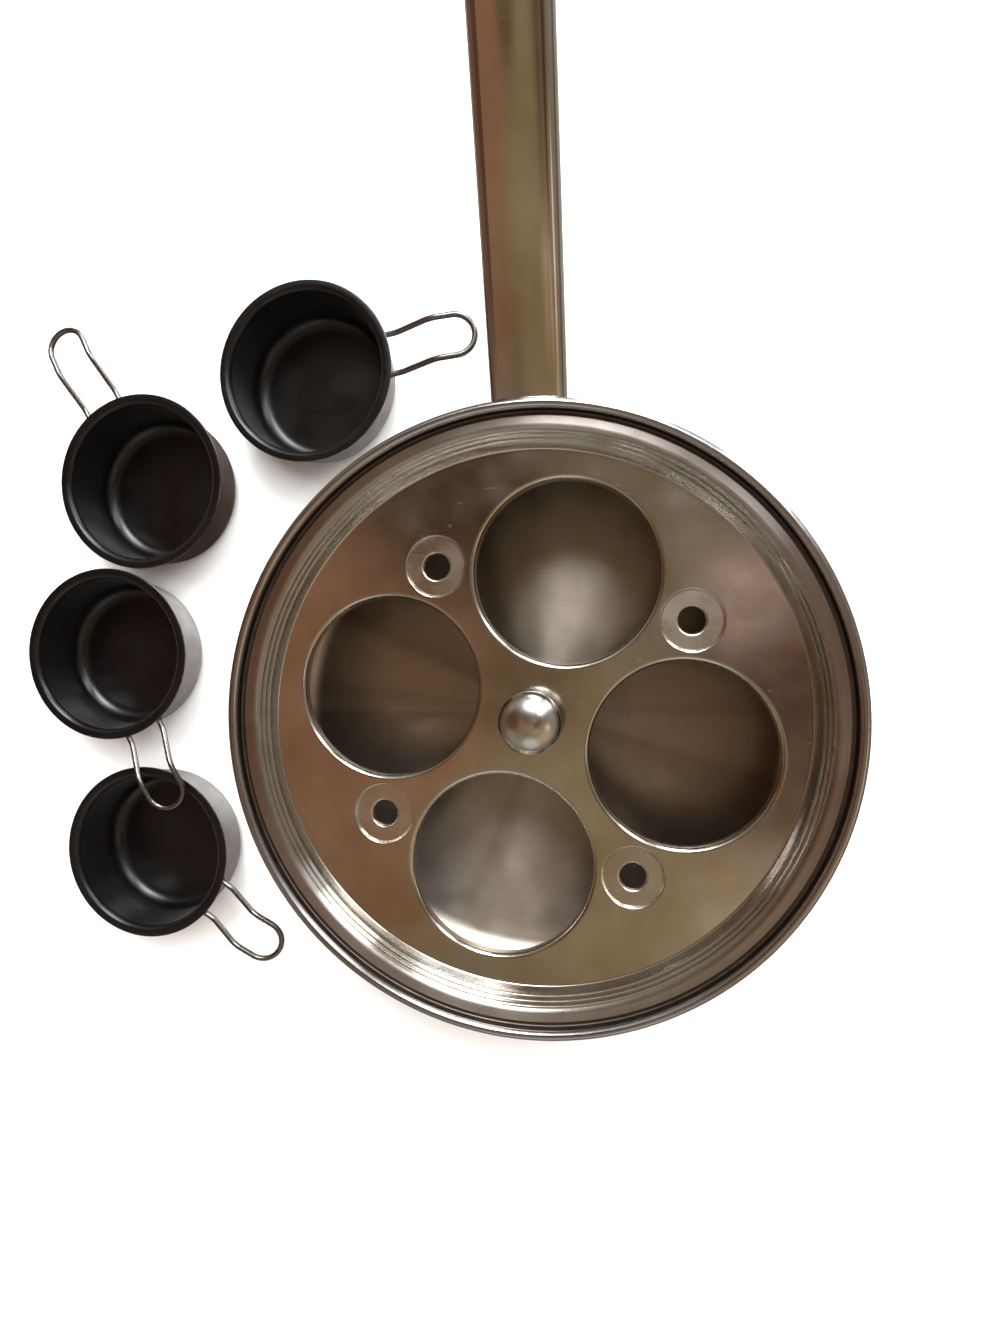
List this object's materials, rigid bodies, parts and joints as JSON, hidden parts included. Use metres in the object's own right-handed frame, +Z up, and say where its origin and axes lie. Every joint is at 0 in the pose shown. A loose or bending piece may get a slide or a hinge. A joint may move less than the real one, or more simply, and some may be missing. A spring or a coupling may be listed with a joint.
{
  "type": "egg poacher pan",
  "caption": "Shallow steel saucepan with a long handle and a lift-out poaching tray with a centre knob, and small coated cups with wire finger loops standing beside it.",
  "frame": {"origin": "centre of the pan's base, on the surface that it stands on", "axes": "+Z up, +Y along the handle from the pan, so that the loose cups stand on the -X side"},
  "size_m": [0.3129, 0.3635, 0.1064],
  "materials": {
    "pan_steel": "polished outside, fine turned finish inside",
    "core_aluminium": "as pressed",
    "cap_steel": "fine turned finish",
    "saddle_steel": "as pressed",
    "handle_steel": "mirror polished stainless steel",
    "tray_steel": "mirror polished stainless steel with fine scratches",
    "knob_steel": "mirror polished stainless steel",
    "boss_steel": "turned",
    "screw_steel": "bright zinc plated",
    "cup_coating": "satin dark non-stick coating inside, bare grey metal outside",
    "wire_steel": "drawn bright wire"
  },
  "bodies": {
    "pan": {"pan_body": "pan_steel", "base_core": "core_aluminium", "base_cap": "cap_steel", "handle_saddle": "saddle_steel", "handle_upper": "handle_steel", "handle_lower": "handle_steel"},
    "tray": {"tray": "tray_steel", "knob_dome": "knob_steel", "knob_boss": "boss_steel", "knob_screw": "screw_steel", "knob_washer": "screw_steel"},
    "poaching_cup_1": {"cup_1": "cup_coating", "cup_wire_1": "wire_steel"},
    "poaching_cup_2": {"cup_2": "cup_coating", "cup_wire_2": "wire_steel"},
    "poaching_cup_3": {"cup_3": "cup_coating", "cup_wire_3": "wire_steel"},
    "poaching_cup_4": {"cup_4": "cup_coating", "cup_wire_4": "wire_steel"}
  },
  "joints": [
    {"name": "tray_lift", "type": "slide", "parent": "pan", "child": "tray", "axis": [0, 0, 1], "range_m": [0, 0.08]},
    {"name": "cup_1_lift", "type": "slide", "parent": "pan", "child": "poaching_cup_1", "axis": [0, 0, 1], "range_m": [0, 0.07]},
    {"name": "cup_2_lift", "type": "slide", "parent": "pan", "child": "poaching_cup_2", "axis": [0, 0, 1], "range_m": [0, 0.06]},
    {"name": "cup_4_lift", "type": "slide", "parent": "pan", "child": "poaching_cup_4", "axis": [0, 0, 1], "range_m": [0, 0.05]},
    {"name": "cup_3_lift", "type": "slide", "parent": "poaching_cup_4", "child": "poaching_cup_3", "axis": [0, 0, 1], "range_m": [0, 0.05]}
  ]
}
